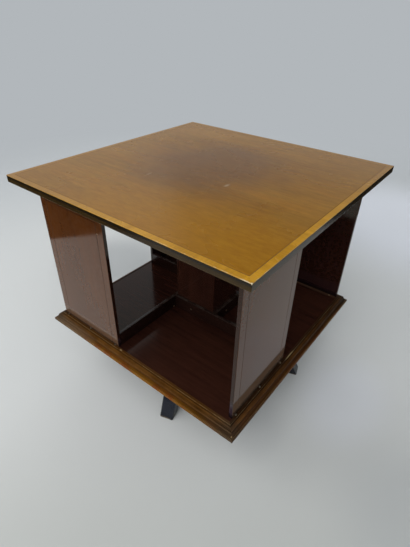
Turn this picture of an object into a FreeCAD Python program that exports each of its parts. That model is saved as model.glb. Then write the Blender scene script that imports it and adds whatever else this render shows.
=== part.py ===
"""Revolving desktop bookcase: a square four-bay case that turns on a low four-legged stand.

Frame: millimetres, +Z up, origin on the floor under the spindle. The side panels face -Y, +X, +Y and -X.
Everything that the case repeats is made for its -Y side and turned by quarter turns.
"""
import FreeCAD, Part
import math
import os

V = FreeCAD.Vector
Z_AXIS = V(0, 0, 1)
ORIGIN = V(0, 0, 0)
SIDES = ("front", "right", "back", "left")
HAIR = 1e-6

# ---- top: lipped core, veneered field, crossbanded border ----
top_side = 480.0
top_core_thickness = 11.0
lipping_width = 3.0
veneer_thickness = 1.0
band_width = 9.5
string_width = 1.0
top_arris = 0.4

# ---- case ----
top_overhang = 32.0
clear_height = 284.0
panel_thickness = 6.5
panel_edge_radius = 0.8
scratch_inset = 16.0
scratch_width = 1.0
scratch_depth = 0.5
scratch_drop = 30.0
batten_height = 27.0
batten_thickness = 7.0
batten_edge_radius = 1.5
column_width = 94.0
column_depth = 82.0
column_wall = 8.0
column_edge_radius = 1.0

# ---- base board and its quirked ogee moulding ----
base_thickness = 18.0
margin_width = 4.8
quirk_width = 1.1
quirk_depth = 3.4
bead_radius = 4.9
bead_drop = 1.9
bead_lead = 1.1
cove_radius = 5.2
cove_lip_step = 0.8
cove_lip_width = 1.4
moulding_arris = 0.4

# ---- bearings ----
spindle_radius = 8.0
running_clearance = 0.05
bush_wall = 4.0
bush_flange_radius = 23.0
bush_flange_thickness = 3.0
stand_gap = 3.0
pivot_height = 200.0
pivot_ball_radius = 4.0
pivot_ball_rise = 1.0
pivot_clearance = 0.05
cup_wall = 6.0
cup_roof = 5.0
cup_bore_depth = 16.0
cup_flange_width = 5.0
cup_flange_thickness = 2.5
pivot_block_cover = 12.0

# ---- stand ----
floor_clearance = 106.0
stand_angle = 17.4
hub_side = 72.0
hub_height = 60.0
hub_corner_cut = 13.0
hub_bottom_chamfer = 5.0
plate_side = 56.0
plate_thickness = 4.0
plate_screw_spread = 20.0
stud_radius = 6.0
washer_radius = 13.0
washer_thickness = 2.0
nut_across_flats = 19.0
nut_height = 10.0
stud_tail = 3.0

# ---- legs ----
toe_reach = 214.0
toe_slope = 64.0
toe_face_height = 33.0
sole_length = 24.0
leg_toe_width = 26.5
leg_root_width = 30.0
leg_root_depth = 42.0
leg_root_drop = 4.0
leg_arch_run = 80.0
leg_arch_pull = 45.0
leg_arris = 1.5
sole_chamfer = 0.8
tenon_length = 14.0
tenon_width = 12.0
tenon_shoulder = 5.0
peg_radius = 2.5
peg_length = 36.0

# ---- fastenings ----
screw_radius = 1.4
screw_head_radius = 3.0
screw_slot_width = 0.7
screw_slot_depth = 0.8
bush_screw_length = 14.0
bush_screw_count = 3
panel_screw_bite = 22.0
panel_screw_inset = 30.0
column_screw_offset = 16.0
plate_screw_length = 26.0
dowel_radius = 2.0
dowel_length = 14.0
pin_head_radius = 2.0
pin_head_height = 1.1
pin_shank_radius = 0.6
pin_length = 14.0
pin_stand_off = 1.0
pin_skew = 45.0
panel_pin_inset = 10.0
batten_pin_rise = 12.0
batten_pin_end_cover = 1.0

# ---- heights and half widths that follow ----
base_bottom = floor_clearance
base_top = base_bottom + base_thickness
top_bottom = base_top + clear_height
core_top = top_bottom + top_core_thickness
top_surface = core_top + veneer_thickness
top_half = top_side / 2
case_half = top_half - top_overhang
column_half_x = column_width / 2
column_half_y = column_depth / 2
panel_width = case_half - column_half_x
side_setback = column_half_x - column_half_y
column_inner_x = column_half_x - column_wall
column_inner_y = column_half_y - column_wall
panel_inner = case_half - panel_thickness
panel_middle = case_half - panel_thickness / 2
flange_bottom = base_bottom - bush_flange_thickness
plate_top = flange_bottom - stand_gap
hub_top = plate_top - plate_thickness
hub_bottom = hub_top - hub_height
hub_half = hub_side / 2
bore_radius = spindle_radius + running_clearance
bush_radius = bore_radius + bush_wall
ball_top = base_top + pivot_height
spindle_top = ball_top - pivot_ball_radius - pivot_ball_rise
cup_ceiling = ball_top + pivot_clearance
cup_bottom = cup_ceiling - cup_bore_depth
cup_radius = bore_radius + cup_wall

# Front and back, then the sides: how far the panel stands in from the case's corner,
# and the column's half width along the side and across it.
PAIRS = ((0.0, column_half_x, column_half_y), (side_setback, column_half_y, column_half_x))


def box(x0, x1, y0, y1, z0, z1):
    """Block between two opposite corners."""
    return Part.makeBox(x1 - x0, y1 - y0, z1 - z0, V(x0, y0, z0))


def drum(radius, z0, z1, x=0.0, y=0.0):
    """Upright cylinder from z0 to z1."""
    return Part.makeCylinder(radius, z1 - z0, V(x, y, z0))


def turned(shape, degrees):
    """Copy of a shape turned about the spindle's axis."""
    copy = shape.copy()
    copy.rotate(ORIGIN, Z_AXIS, degrees)
    return copy


def moved(shape, place):
    """Copy of a shape moved by a vector."""
    copy = shape.copy()
    copy.translate(place)
    return copy


def quarter_turns(shape):
    """The shape at each of the four sides, front first and then to the right."""
    return [turned(shape, 90 * k) for k in range(len(SIDES))]


def four_sides(make):
    """What a function makes for the front, made for each pair of sides and turned to all four."""
    return [turned(make(*PAIRS[k % 2]), 90 * k) for k in range(len(SIDES))]


def four_side_places(find):
    """Places on the plan that a function finds for the front, at all four sides."""
    found = []
    for k in range(len(SIDES)):
        turn = FreeCAD.Rotation(Z_AXIS, 90 * k)
        found += [turn.multVec(place) for place in find(*PAIRS[k % 2])]
    return found


def group(shapes):
    """One node of separate solids."""
    return Part.makeCompound([solid for shape in shapes for solid in shape.Solids])


def upright_edges(shape, test):
    """Vertical edges whose place (x, y) passes the test."""
    found = []
    for edge in shape.Edges:
        a, b = edge.Vertexes[0].Point, edge.Vertexes[-1].Point
        if math.hypot(a.x - b.x, a.y - b.y) < HAIR < abs(a.z - b.z) and test(a.x, a.y):
            found.append(edge)
    return found


def outline_face(pieces):
    """Planar face from points and curves in order; straight lines join what isn't curved."""
    edges, last = [], None
    for piece in pieces + [pieces[0]]:
        start = piece if isinstance(piece, V) else piece.Vertexes[0].Point
        if last is not None and (start - last).Length > HAIR:
            edges.append(Part.makeLine(last, start))
        if isinstance(piece, V):
            last = piece
        elif piece is not pieces[0] or not edges:
            edges.append(piece)
            last = piece.Vertexes[-1].Point
    return Part.Face(Part.Wire(edges))


def mitred_strip(pieces, reach):
    """Strip along the front whose section lies in the YZ plane, cut to 45 degrees at both ends."""
    bar = outline_face(pieces).extrude(V(2 * reach, 0, 0))
    bar.translate(V(-reach, 0, 0))
    wedge = Part.Face(Part.makePolygon([ORIGIN, V(-reach, -reach, 0), V(reach, -reach, 0), ORIGIN]))
    return bar.common(wedge.extrude(V(0, 0, top_surface)))


def flat_strip(outer, width, z0, z1, arris=0.0):
    """Mitred strip of rectangular section with its outer upper corner taken off by the arris."""
    corners = [V(0, -outer, z0), V(0, width - outer, z0), V(0, width - outer, z1)]
    if arris:
        corners += [V(0, arris - outer, z1), V(0, -outer, z1 - arris)]
    else:
        corners.append(V(0, -outer, z1))
    return mitred_strip(corners, outer)


# ---- fastenings ----
def screw_body(length):
    """Countersunk screw before its slot is cut, head up with its top face at the origin."""
    head = screw_head_radius - screw_radius
    screw = Part.makeCone(screw_radius, screw_head_radius, head, V(0, 0, -head))
    return screw.fuse(drum(screw_radius, -length, -head))


def wood_screws(length, places, z, from_below):
    """Slotted screws with their heads flush at z, and the holes that they fill."""
    hole = screw_body(length)
    slot = box(-screw_head_radius, screw_head_radius, -screw_slot_width / 2, screw_slot_width / 2,
               -screw_slot_depth, 0)
    sets = []
    for shape in (hole.cut(slot), hole):
        if from_below:
            shape.rotate(ORIGIN, V(1, 0, 0), 180)
        sets.append(group([moved(shape, V(place.x, place.y, z)) for place in places]))
    return sets


def dowels(places):
    """Dowels that stand half in the top and half in what carries it."""
    low, high = top_bottom - dowel_length / 2, top_bottom + dowel_length / 2
    return group([drum(dowel_radius, low, high, place.x, place.y) for place in places])


def brass_pin(length):
    """Pin with a tapered head, head up with the head's flat at the origin."""
    head = Part.makeCone(pin_head_radius, pin_head_radius - pin_head_height, pin_head_height)
    return head.fuse(drum(pin_shank_radius, -length, 0))


def panel_ends(setback):
    """Left and right end of a panel."""
    return setback - case_half, setback - case_half + panel_width


def panel_fixing_places(setback, along, across):
    """Places of a panel's dowels and screws."""
    left, right = panel_ends(setback)
    return [V(x, -panel_middle, 0) for x in (left + panel_screw_inset, right - panel_screw_inset)]


def column_fixing_places(setback, along, across):
    """Place of the dowel and the screw of a column board, clear of the pin at its middle."""
    return [V(column_screw_offset, column_wall / 2 - across, 0)]


def panel_foot_pins(setback, along, across):
    """Pins driven askew through a panel's foot into the base board, near both ends and at the middle."""
    left, right = panel_ends(setback)
    pin = brass_pin(pin_length)
    pin.translate(V(0, 0, pin_stand_off))
    pin.rotate(ORIGIN, V(1, 0, 0), pin_skew)
    return group([moved(pin, V(x, -case_half, base_top))
                  for x in (left + panel_pin_inset, (left + right) / 2, right - panel_pin_inset)])


def batten_pin(setback, along, across):
    """Pin driven level through a batten into the middle of the column board behind it."""
    pin = brass_pin(batten_thickness + column_wall - batten_pin_end_cover)
    pin.rotate(ORIGIN, V(1, 0, 0), 90)
    return moved(pin, V(-column_wall / 2, -across - batten_thickness, base_top + batten_pin_rise))


def bush_screw_places():
    """Places of the screws of the bush flange, evenly spaced round the bore."""
    spread = (bush_radius + bush_flange_radius) / 2
    turns = [FreeCAD.Rotation(Z_AXIS, 360 * k / bush_screw_count) for k in range(bush_screw_count)]
    return [turn.multVec(V(spread, 0, 0)) for turn in turns]


def plate_screw_places():
    """Places of the screws that hold the spindle's plate on the hub."""
    spread = plate_screw_spread
    return [V(x, y, 0) for x in (-spread, spread) for y in (-spread, spread)]


# ---- case pieces, each made for the front side ----
def scratched_line(start, end, across):
    """V-shaped cutter on the case's face from one point to another, its width measured across."""
    side = across * (scratch_width / 2)
    section = Part.makePolygon([start - side, start + side, start + V(0, scratch_depth, 0), start - side])
    return Part.Face(section).extrude(end - start)


def side_panel(setback, along, across):
    """Solid end panel with eased upright edges, framed on three sides by a scratched line."""
    left, right = panel_ends(setback)
    panel = box(left, right, -case_half, -panel_inner, base_top, top_bottom)
    panel = panel.makeFillet(panel_edge_radius, upright_edges(panel, lambda x, y: True))
    feet = [V(x, -case_half, base_top) for x in (left + scratch_inset, right - scratch_inset)]
    heads = [foot + V(0, 0, clear_height - scratch_drop) for foot in feet]
    for foot, head in zip(feet, heads):
        panel = panel.cut(scratched_line(foot, head, V(1, 0, 0)))
    return panel.cut(scratched_line(*heads, Z_AXIS))


def book_batten(setback, along, across):
    """Low stop behind a bay: from the next panel past the column to the neighbouring batten."""
    back, top = -across, base_top + batten_height
    batten = box(-along, panel_inner, back - batten_thickness, back, base_top, top)
    middle = (panel_inner - along) / 2
    upper = [e for e in batten.Edges
             if abs(e.CenterOfMass.z - top) < HAIR and abs(e.CenterOfMass.x - middle) < HAIR]
    return batten.makeFillet(batten_edge_radius, upper)


def column_board(setback, along, across):
    """One wall of the hollow centre column; each wall covers the next one's edge."""
    board = box(-along, along - column_wall, -across, column_wall - across, base_top, top_bottom)
    corner = upright_edges(board, lambda x, y: x < column_wall - along and y < column_wall / 2 - across)
    return board.makeFillet(column_edge_radius, corner)


def moulding_section():
    """Quirked ogee: flat margin, narrow quirk, bead, cove and square lip, seen from the left end."""
    z = base_top
    margin = -(case_half + margin_width)
    bead_start = margin - quirk_width
    bead_z = z - bead_drop - bead_radius
    rise = math.sqrt(bead_radius ** 2 - bead_lead ** 2)
    bead_centre = bead_start - bead_lead
    bead_end = bead_centre - bead_radius
    lift = math.sqrt(0.5) * bead_radius
    bead = Part.Arc(V(0, bead_start, bead_z + rise), V(0, bead_centre - lift, bead_z + lift),
                    V(0, bead_end, bead_z)).toShape()
    dip = math.sqrt(0.5) * cove_radius
    cove_centre = bead_end - cove_radius
    cove = Part.Arc(V(0, bead_end, bead_z), V(0, cove_centre + dip, bead_z - dip),
                    V(0, cove_centre, bead_z - cove_radius)).toShape()
    lip_z = bead_z - cove_radius - cove_lip_step
    edge = cove_centre - cove_lip_width
    a = moulding_arris
    return [V(0, -case_half, base_bottom), V(0, -case_half, z), V(0, margin + a, z), V(0, margin, z - a),
            V(0, margin, z - quirk_depth), V(0, bead_start, z - quirk_depth), bead, cove,
            V(0, cove_centre, lip_z), V(0, edge + a, lip_z), V(0, edge, lip_z - a),
            V(0, edge, base_bottom + a), V(0, edge + a, base_bottom)], -edge


def base_moulding(setback, along, across):
    """Mitred strip of the moulding round the base board."""
    section, reach = moulding_section()
    return mitred_strip(section, reach)


def pivot_cup():
    """Flanged cup that takes the spindle's head and rests on its ball."""
    cup = drum(cup_radius, cup_bottom, cup_ceiling + cup_roof)
    cup = cup.fuse(drum(cup_radius + cup_flange_width, cup_bottom, cup_bottom + cup_flange_thickness))
    return cup.cut(drum(bore_radius, cup_bottom, cup_ceiling))


def pivot_block():
    """Block glued into the column that carries the cup."""
    x, y = column_inner_x, column_inner_y
    bottom, roof = cup_bottom + cup_flange_thickness, cup_ceiling + cup_roof
    return box(-x, x, -y, y, bottom, roof + pivot_block_cover).cut(drum(cup_radius, bottom, roof))


def base_bush():
    """Flanged bush that steadies the spindle in the base board."""
    bush = drum(bush_radius, base_bottom, base_top)
    bush = bush.fuse(drum(bush_flange_radius, flange_bottom, base_bottom))
    return bush.cut(drum(bore_radius, flange_bottom, base_top))


# ---- stand pieces ----
def leg_profile():
    """Side view of a leg: arched top and underside, sloping toe face and flat sole."""
    slope = math.radians(toe_slope)
    rise = V(-math.cos(slope), 0, math.sin(slope))
    toe = V(toe_reach, 0, 0)
    shoulder = toe + rise * (toe_face_height / math.sin(slope))
    heel = V(toe_reach - sole_length, 0, 0)
    root_top = V(hub_half, 0, hub_top - leg_root_drop)
    root_bottom = root_top - V(0, 0, leg_root_depth)
    upper = Part.BezierCurve()
    upper.setPoles([root_top, root_top + V(leg_arch_run, 0, 0), shoulder + rise * leg_arch_pull, shoulder])
    lower = Part.BezierCurve()
    lower.setPoles([heel, heel + rise * leg_arch_pull, root_bottom + V(leg_arch_run, 0, 0), root_bottom])
    return outline_face([upper.toShape(), toe, lower.toShape()])


def leg():
    """Downswept square-edged leg, narrowing to the toe, with a stub tenon at its root."""
    bar = leg_profile().extrude(V(0, leg_root_width, 0))
    bar.translate(V(0, -leg_root_width / 2, 0))
    root, toe = leg_root_width / 2, leg_toe_width / 2
    plan = [V(hub_half, -root, 0), V(toe_reach, -toe, 0), V(toe_reach, toe, 0), V(hub_half, root, 0)]
    taper = Part.Face(Part.makePolygon(plan + plan[:1])).extrude(V(0, 0, hub_top))
    shape = bar.common(taper)
    long_edges = [e for e in shape.Edges
                  if abs(e.CenterOfMass.y) > toe / 2 and e.CenterOfMass.z > HAIR
                  and e.CenterOfMass.x > hub_half + HAIR]
    shape = shape.makeChamfer(leg_arris, long_edges)
    shape = shape.makeChamfer(sole_chamfer, [e for e in shape.Edges if abs(e.BoundBox.ZMax) < HAIR])
    tenon_top = hub_top - leg_root_drop - tenon_shoulder
    tenon_bottom = hub_top - leg_root_drop - leg_root_depth + tenon_shoulder
    tenon = box(hub_half - tenon_length, hub_half, -tenon_width / 2, tenon_width / 2, tenon_bottom, tenon_top)
    return shape.fuse(tenon).removeSplitter(), tenon


def tenon_peg():
    """Peg driven down through the hub and the tenon."""
    return drum(peg_radius, hub_top - peg_length, hub_top, hub_half - tenon_length / 2)


def hub():
    """Square block with cut corners, mortised for the legs and bored for the stud."""
    block = box(-hub_half, hub_half, -hub_half, hub_half, hub_bottom, hub_top)
    block = block.makeChamfer(hub_corner_cut, upright_edges(block, lambda x, y: True))
    rim = [e for e in block.Edges if abs(e.BoundBox.ZMax - hub_bottom) < HAIR]
    block = block.makeChamfer(hub_bottom_chamfer, rim)
    return block.cut(drum(stud_radius, hub_bottom, hub_top))


def spindle():
    """Steel shaft with a shoulder on the plate, a stud below and a ball seat in its head."""
    stud_end = hub_bottom - washer_thickness - nut_height - stud_tail
    shaft = drum(spindle_radius, plate_top, spindle_top).fuse(drum(stud_radius, stud_end, plate_top))
    return shaft.cut(pivot_ball())


def pivot_ball():
    """Ball that carries the case's weight."""
    return Part.makeSphere(pivot_ball_radius, V(0, 0, ball_top - pivot_ball_radius))


def mount_plate():
    """Square plate under the spindle's shoulder."""
    half = plate_side / 2
    return box(-half, half, -half, half, hub_top, plate_top).cut(drum(stud_radius, hub_top, plate_top))


def washer():
    """Washer under the hub."""
    low = hub_bottom - washer_thickness
    return drum(washer_radius, low, hub_bottom).cut(drum(stud_radius, low, hub_bottom))


def nut():
    """Hexagon nut under the washer."""
    top = hub_bottom - washer_thickness
    corner = nut_across_flats / 2 / math.cos(math.pi / 6)
    points = [V(corner * math.cos(math.pi * k / 3), corner * math.sin(math.pi * k / 3), top - nut_height)
              for k in range(7)]
    body = Part.Face(Part.makePolygon(points)).extrude(V(0, 0, nut_height))
    return body.cut(drum(stud_radius, top - nut_height, top))


# ---- assemblies ----
def build_top(nodes, dowels):
    """Core, lippings, border strips and field of the top."""
    core_half = top_half - lipping_width
    field_half = top_half - band_width - string_width
    nodes["top_core"] = box(-core_half, core_half, -core_half, core_half, top_bottom, core_top).cut(dowels)
    nodes["field_veneer"] = box(-field_half, field_half, -field_half, field_half, core_top, top_surface)
    lipping = flat_strip(top_half, lipping_width, top_bottom, core_top)
    band = flat_strip(top_half, band_width, core_top, top_surface, top_arris)
    string = flat_strip(top_half - band_width, string_width, core_top, top_surface)
    for name, strip in (("edge_lipping", lipping), ("border_band", band), ("border_string", string)):
        for side, shape in zip(SIDES, quarter_turns(strip)):
            nodes[f"{name}_{side}"] = shape


def build_case(nodes):
    """Panels, battens, column, base and everything that turns with them."""
    fixing_length = base_thickness + panel_screw_bite
    panel_places = four_side_places(panel_fixing_places)
    column_places = four_side_places(column_fixing_places)
    panel_dowels, column_dowels = dowels(panel_places), dowels(column_places)
    panel_screws, panel_holes = wood_screws(fixing_length, panel_places, base_bottom, True)
    column_screws, column_holes = wood_screws(fixing_length, column_places, base_bottom, True)
    bush_screws, bush_holes = wood_screws(bush_screw_length, bush_screw_places(), flange_bottom, True)
    foot_pins = group(four_sides(panel_foot_pins))
    stop_pins = group(four_sides(batten_pin))

    for name, make, fastenings in (("side_panel", side_panel, (panel_dowels, panel_holes, foot_pins)),
                                   ("column_board", column_board, (column_dowels, column_holes, stop_pins)),
                                   ("book_batten", book_batten, (stop_pins,)),
                                   ("base_moulding", base_moulding, (foot_pins,))):
        for side, shape in zip(SIDES, four_sides(make)):
            nodes[f"{name}_{side}"] = shape.cut(group(fastenings))
    base = box(-case_half, case_half, -case_half, case_half, base_bottom, base_top)
    holes = group([drum(bush_radius, base_bottom, base_top), panel_holes, column_holes])
    nodes["base_board"] = base.cut(holes).cut(foot_pins).cut(bush_holes)
    nodes["base_bush"] = base_bush().cut(bush_holes)
    nodes["bush_screws"] = bush_screws
    nodes["pivot_cup"] = pivot_cup()
    nodes["pivot_block"] = pivot_block()
    nodes["panel_dowels"] = panel_dowels
    nodes["column_dowels"] = column_dowels
    nodes["panel_screws"] = panel_screws
    nodes["column_screws"] = column_screws
    nodes["panel_foot_pins"] = foot_pins
    nodes["batten_pins"] = stop_pins
    build_top(nodes, group([panel_dowels, column_dowels]))


def build_stand(nodes):
    """Hub, legs, plate and spindle, turned against the case as the stand rests."""
    leg_shape, tenon = leg()
    peg = tenon_peg()
    plate_screws, plate_holes = wood_screws(plate_screw_length, plate_screw_places(), plate_top, False)
    stand = {"stand_hub": hub().cut(group(quarter_turns(tenon) + quarter_turns(peg))).cut(plate_holes)}
    for side, shape in zip(SIDES, quarter_turns(leg_shape.cut(peg))):
        stand[f"leg_{side}"] = turned(shape, -90)
    stand["tenon_pegs"] = group(quarter_turns(peg))
    stand["mount_plate"] = mount_plate().cut(plate_holes)
    stand["plate_screws"] = plate_screws
    stand["spindle"] = spindle()
    stand["pivot_ball"] = pivot_ball()
    stand["stud_washer"] = washer()
    stand["stud_nut"] = nut()
    for name, shape in stand.items():
        nodes[name] = turned(shape, stand_angle)


def main():
    """Build every node and write it to its own file."""
    nodes = {}
    build_stand(nodes)
    build_case(nodes)
    os.makedirs("parts", exist_ok=True)
    for name, shape in nodes.items():
        shape.exportStep(f"parts/{name}.step")
        print(f"{name}: {len(shape.Solids)} solids, valid {shape.isValid()}, {shape.Volume:.0f} mm3")
    print(len(nodes), "nodes")


main()
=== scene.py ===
"""Revolving desktop bookcase: finishes, eased pieces, floor, light and camera round the fixed frame."""

import logging
import math
from dataclasses import dataclass
from enum import Enum
from functools import cache
from typing import Sequence

import bmesh
import bpy
from bmesh.types import BMesh
from bpy.types import Material, Node, NodeSocket, NodeTree, Object
from mathutils import Matrix, Vector


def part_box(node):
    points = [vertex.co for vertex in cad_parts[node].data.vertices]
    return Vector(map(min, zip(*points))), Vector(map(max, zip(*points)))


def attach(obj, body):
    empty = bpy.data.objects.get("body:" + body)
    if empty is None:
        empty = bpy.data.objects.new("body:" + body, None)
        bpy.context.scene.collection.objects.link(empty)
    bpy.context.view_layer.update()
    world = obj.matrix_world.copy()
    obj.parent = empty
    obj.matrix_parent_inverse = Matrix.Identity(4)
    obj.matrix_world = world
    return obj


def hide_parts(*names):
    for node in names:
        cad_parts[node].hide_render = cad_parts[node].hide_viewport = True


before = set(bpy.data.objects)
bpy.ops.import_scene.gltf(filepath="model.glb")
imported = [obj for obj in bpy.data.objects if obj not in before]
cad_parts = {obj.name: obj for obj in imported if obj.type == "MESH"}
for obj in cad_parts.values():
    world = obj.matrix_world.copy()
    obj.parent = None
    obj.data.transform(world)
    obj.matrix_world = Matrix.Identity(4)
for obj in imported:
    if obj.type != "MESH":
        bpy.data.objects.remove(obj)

log = logging.getLogger("bookcase")
Colour = tuple[float, float, float]
Place = tuple[float, float, float]
MM = 0.001
ORIGIN: Place = (0.0, 0.0, 0.0)
UP: Place = (0.0, 0.0, 1.0)
FULL_TURN = 2 * math.pi
SHEET_WELD = 0.1 * MM
NODE_WELD = 0.002 * MM
MATT = 0.9
SIDES = ("front", "right", "back", "left")


class Grain(Enum):
    """Direction in which the long fibres of a board run, as the turn that brings them onto X."""

    ALONG_X = ORIGIN
    ALONG_Y = (0.0, 0.0, -math.pi / 2)
    ALONG_Z = (0.0, math.pi / 2, 0.0)

    @staticmethod
    def along(side: str) -> "Grain":
        """Finds the fibres that run along one side of the bookcase."""
        return Grain.ALONG_X if side in ("front", "back") else Grain.ALONG_Y

    @staticmethod
    def across(side: str) -> "Grain":
        """Finds the fibres that run square to one side of the bookcase."""
        return Grain.ALONG_Y if side in ("front", "back") else Grain.ALONG_X


class Body(Enum):
    """The two bodies that turn against each other."""

    STAND = "stand"
    CASE = "case"


# ---- node trees ----
class Sketch:
    """A node tree with short calls for adding nodes and joining their sockets."""

    def __init__(self, tree: NodeTree) -> None:
        """Args: tree: the node tree to fill."""
        self.tree = tree

    def feed(self, socket: NodeSocket, value: object) -> None:
        """Sets a socket to a plain value, or links it when the value is a socket.

        Args:
            socket: the input to fill.
            value: an output socket, a number or a colour.
        """
        if isinstance(value, NodeSocket):
            self.tree.links.new(value, socket)
        elif isinstance(value, tuple) and socket.type == "RGBA":
            socket.default_value = (*value, 1.0)
        else:
            socket.default_value = value

    def fill(self, node: Node, **values: object) -> Node:
        """Feeds a node's inputs by name.

        Args:
            node: the node.
            values: what each input gets, with _ for a space in its name.

        Returns:
            The same node.
        """
        for name, value in values.items():
            self.feed(node.inputs[name.replace("_", " ")], value)
        return node

    def node(self, kind: str, **settings: object) -> Node:
        """Adds a node.

        Args:
            kind: Blender's name of the node type.
            settings: properties of the node, and values for inputs given as in_NAME.

        Returns:
            The new node.
        """
        node = self.tree.nodes.new(kind)
        for name, value in settings.items():
            if name.startswith("in_"):
                self.fill(node, **{name[3:]: value})
            else:
                setattr(node, name, value)
        return node

    def sum(self, kind: str, operation: str, values: Sequence[object], **settings: object) -> Sequence[NodeSocket]:
        """Adds a node that does a sum.

        Args:
            kind: Blender's name of the node type.
            operation: the sum to do.
            values: numbers, vectors or sockets, in order.
            settings: further properties of the node.

        Returns:
            The node's outputs.
        """
        node = self.node(kind, operation=operation, **settings)
        for socket, value in zip(node.inputs, values):
            self.feed(socket, value)
        return node.outputs

    def math(self, operation: str, *values: object, clamp: bool = False) -> NodeSocket:
        """Does a sum of numbers, kept between 0 and 1 if clamp is set."""
        return self.sum("ShaderNodeMath", operation, values, use_clamp=clamp)[0]

    def vector(self, operation: str, *values: object) -> Sequence[NodeSocket]:
        """Does a sum of vectors; the outputs are Vector and Value."""
        return self.sum("ShaderNodeVectorMath", operation, values)

    def times(self, first: object, second: object) -> NodeSocket:
        """Multiplies two values."""
        return self.math("MULTIPLY", first, second)

    def most(self, first: object, second: object) -> NodeSocket:
        """Takes the larger of two values."""
        return self.math("MAXIMUM", first, second)

    def between(self, value: object, low: float, high: float) -> NodeSocket:
        """Marks where a value lies between two bounds."""
        return self.math("COMPARE", value, (low + high) / 2, (high - low) / 2)

    def mix(self, factor: object, low: object, high: object, blend: str = "MIX") -> NodeSocket:
        """Adds a colour mix.

        Args:
            factor: share of the second colour.
            low: colour where the factor is 0.
            high: colour where the factor is 1.
            blend: how the second colour is laid over the first.

        Returns:
            The mixed colour.
        """
        node = self.node("ShaderNodeMix", data_type="RGBA", blend_type=blend)
        for socket, value in zip((node.inputs[0], node.inputs[6], node.inputs[7]), (factor, low, high)):
            self.feed(socket, value)
        return node.outputs[2]

    def span(self, value: object, low: float, high: float, to_low: float = 0.0, to_high: float = 1.0) -> NodeSocket:
        """Spreads a range of values over another range, clamped and eased.

        Args:
            value: the value to read.
            low: value that becomes to_low.
            high: value that becomes to_high.
            to_low: result at the low end.
            to_high: result at the high end.

        Returns:
            The value in the new range.
        """
        return self.node("ShaderNodeMapRange", interpolation_type="SMOOTHSTEP", in_Value=value, in_From_Min=low,
                         in_From_Max=high, in_To_Min=to_low, in_To_Max=to_high).outputs[0]

    def mapped(self, place: object, scale: Place, turn: Place = ORIGIN, shift: Place = ORIGIN) -> NodeSocket:
        """Scales, turns and shifts a place."""
        return self.node("ShaderNodeMapping", in_Vector=place, in_Scale=scale, in_Rotation=turn,
                         in_Location=shift).outputs[0]

    def noise(self, place: object, scale: object, detail: float = 3.0, roughness: float = 0.5,
              distortion: object = 0.0) -> NodeSocket:
        """Adds a noise pattern.

        Args:
            place: where it is read.
            scale: patterns per metre.
            detail: octaves.
            roughness: strength of the fine octaves.
            distortion: how much the pattern is stirred.

        Returns:
            The noise value.
        """
        return self.node("ShaderNodeTexNoise", in_Vector=place, in_Scale=scale, in_Detail=detail,
                         in_Roughness=roughness, in_Distortion=distortion).outputs[0]

    def outward(self, place: object) -> tuple[NodeSocket, NodeSocket]:
        """Measures a place against the bookcase's square outline.

        Args:
            place: the place.

        Returns:
            How far out it lies towards the nearest side, and its height.
        """
        across, ahead, height = self.node("ShaderNodeSeparateXYZ", in_Vector=place).outputs
        return self.most(self.math("ABSOLUTE", across), self.math("ABSOLUTE", ahead)), height

    def group(self, tree: NodeTree, **values: object) -> Sequence[NodeSocket]:
        """Places a shared group with its own values and gives its outputs."""
        return self.fill(self.node("ShaderNodeGroup", node_tree=tree), **values).outputs


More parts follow.
